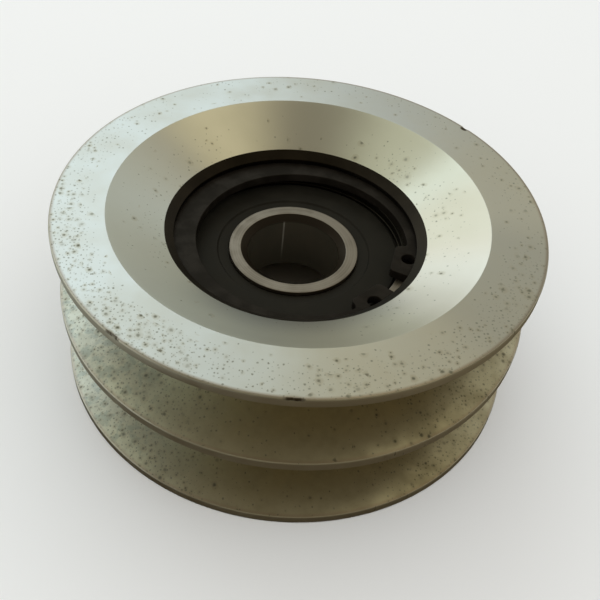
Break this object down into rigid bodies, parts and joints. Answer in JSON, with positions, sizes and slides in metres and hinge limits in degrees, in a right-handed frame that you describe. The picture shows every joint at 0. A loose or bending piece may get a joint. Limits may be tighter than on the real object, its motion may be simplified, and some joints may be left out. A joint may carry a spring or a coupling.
{
  "type": "v belt pulley",
  "caption": "Grooved steel pulley for V belts, with shallow dished faces, that spins freely on a sealed ball bearing held in its bore by a retaining ring.",
  "frame": {"origin": "on the axis of rotation, half way between the two rim faces", "axes": "+Z along the axis of rotation, out of the front face, the side with the retaining ring; the pulley lies flat on its rear rim face at z = -20 mm"},
  "size_m": [0.102, 0.102, 0.04],
  "materials": {
    "plated_steel": "turned steel with thin satin zinc plating, small dark corrosion specks and worn edges",
    "spring_steel": "phosphated black spring steel, oiled",
    "plain_steel": "bare turned steel, lightly oiled",
    "bearing_steel": "ground and polished bearing steel",
    "cage_steel": "pressed sheet steel",
    "seal_rubber": "moulded matt black nitrile rubber"
  },
  "bodies": {
    "inner_ring": {"bearing_inner_ring": "bearing_steel"},
    "pulley": {"sheave": "plated_steel", "circlip": "spring_steel", "shim_ring": "plain_steel", "bearing_outer_ring": "bearing_steel", "front_seal": "seal_rubber", "front_seal_plate": "cage_steel", "rear_seal": "seal_rubber", "rear_seal_plate": "cage_steel"},
    "cage": {"cage_front_half": "cage_steel", "cage_rear_half": "cage_steel", "cage_rivets": "cage_steel"},
    "rolling_ball_1": {"ball_1": "bearing_steel"},
    "rolling_ball_2": {"ball_2": "bearing_steel"},
    "rolling_ball_3": {"ball_3": "bearing_steel"},
    "rolling_ball_4": {"ball_4": "bearing_steel"},
    "rolling_ball_5": {"ball_5": "bearing_steel"},
    "rolling_ball_6": {"ball_6": "bearing_steel"},
    "rolling_ball_7": {"ball_7": "bearing_steel"}
  },
  "joints": [
    {"name": "pulley_spin", "type": "hinge", "parent": "inner_ring", "child": "pulley", "pos_m": [0, 0, 0.00043], "axis": [0, 0, 1], "continuous": true},
    {"name": "cage_spin", "type": "hinge", "parent": "inner_ring", "child": "cage", "pos_m": [0, 0, 0.00043], "axis": [0, 0, 1], "continuous": true},
    {"name": "ball_1_spin", "type": "hinge", "parent": "cage", "child": "rolling_ball_1", "pos_m": [0.018, 0, 0.00043], "axis": [0, 0, 1], "continuous": true},
    {"name": "ball_2_spin", "type": "hinge", "parent": "cage", "child": "rolling_ball_2", "pos_m": [0.01122, 0.01407, 0.00043], "axis": [0, 0, 1], "continuous": true},
    {"name": "ball_3_spin", "type": "hinge", "parent": "cage", "child": "rolling_ball_3", "pos_m": [-0.00401, 0.01755, 0.00043], "axis": [0, 0, 1], "continuous": true},
    {"name": "ball_4_spin", "type": "hinge", "parent": "cage", "child": "rolling_ball_4", "pos_m": [-0.01622, 0.00781, 0.00043], "axis": [0, 0, 1], "continuous": true},
    {"name": "ball_5_spin", "type": "hinge", "parent": "cage", "child": "rolling_ball_5", "pos_m": [-0.01622, -0.00781, 0.00043], "axis": [0, 0, 1], "continuous": true},
    {"name": "ball_6_spin", "type": "hinge", "parent": "cage", "child": "rolling_ball_6", "pos_m": [-0.00401, -0.01755, 0.00043], "axis": [0, 0, 1], "continuous": true},
    {"name": "ball_7_spin", "type": "hinge", "parent": "cage", "child": "rolling_ball_7", "pos_m": [0.01122, -0.01407, 0.00043], "axis": [0, 0, 1], "continuous": true}
  ],
  "couplings": [
    {"joint": "cage_spin", "follows": "pulley_spin", "ratio": 0.63229},
    {"joint": "ball_1_spin", "follows": "pulley_spin", "ratio": 1.7575},
    {"joint": "ball_2_spin", "follows": "pulley_spin", "ratio": 1.7575},
    {"joint": "ball_3_spin", "follows": "pulley_spin", "ratio": 1.7575},
    {"joint": "ball_4_spin", "follows": "pulley_spin", "ratio": 1.7575},
    {"joint": "ball_5_spin", "follows": "pulley_spin", "ratio": 1.7575},
    {"joint": "ball_6_spin", "follows": "pulley_spin", "ratio": 1.7575},
    {"joint": "ball_7_spin", "follows": "pulley_spin", "ratio": 1.7575}
  ]
}
